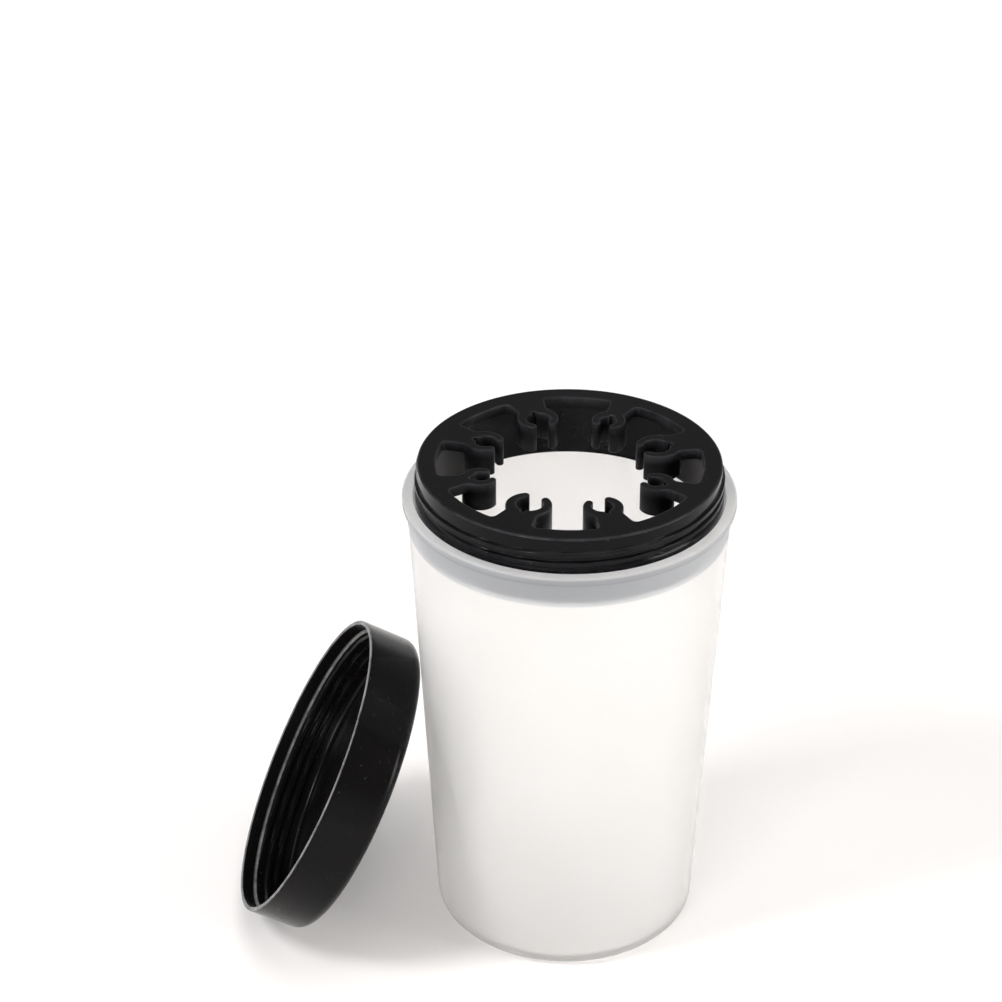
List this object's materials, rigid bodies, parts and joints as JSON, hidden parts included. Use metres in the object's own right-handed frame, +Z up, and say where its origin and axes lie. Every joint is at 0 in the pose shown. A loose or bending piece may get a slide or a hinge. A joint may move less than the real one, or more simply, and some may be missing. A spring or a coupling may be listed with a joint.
{
  "type": "brush washer with lid",
  "caption": "Tapered milky cup with a lipped rim, a black push-fit ring with C-shaped brush clips round its opening, and a threaded screw lid that leans on the cup.",
  "frame": {"origin": "centre of the cup's flat underside, on the table", "axes": "+Z up along the cup's axis, +X to the right in the picture and away from the leaning lid, +Y away from the viewer"},
  "size_m": [0.1539, 0.1009, 0.1585],
  "materials": {
    "milky_plastic": "frosted, translucent",
    "satin_black": "satin",
    "gloss_black": "glossy outside, ribbed by its thread inside"
  },
  "bodies": {
    "cup": {"cup": "milky_plastic"},
    "holder": {"holder_ring": "satin_black", "brush_clip_1": "satin_black", "brush_clip_2": "satin_black", "brush_clip_3": "satin_black", "brush_clip_4": "satin_black", "brush_clip_5": "satin_black", "brush_clip_6": "satin_black", "brush_clip_7": "satin_black", "brush_clip_8": "satin_black"},
    "lid": {"lid": "gloss_black"}
  },
  "joints": [
    {"name": "holder_lift", "type": "slide", "parent": "cup", "child": "holder", "axis": [0, 0, 1], "range_m": [0, 0.03]},
    {"name": "lid_swing", "type": "hinge", "parent": "cup", "child": "lid", "pos_m": [-0.08511, -0.00238, 0.1471], "axis": [-0.0279, 0.9996, 0], "range_deg": [0, 243.2]}
  ]
}
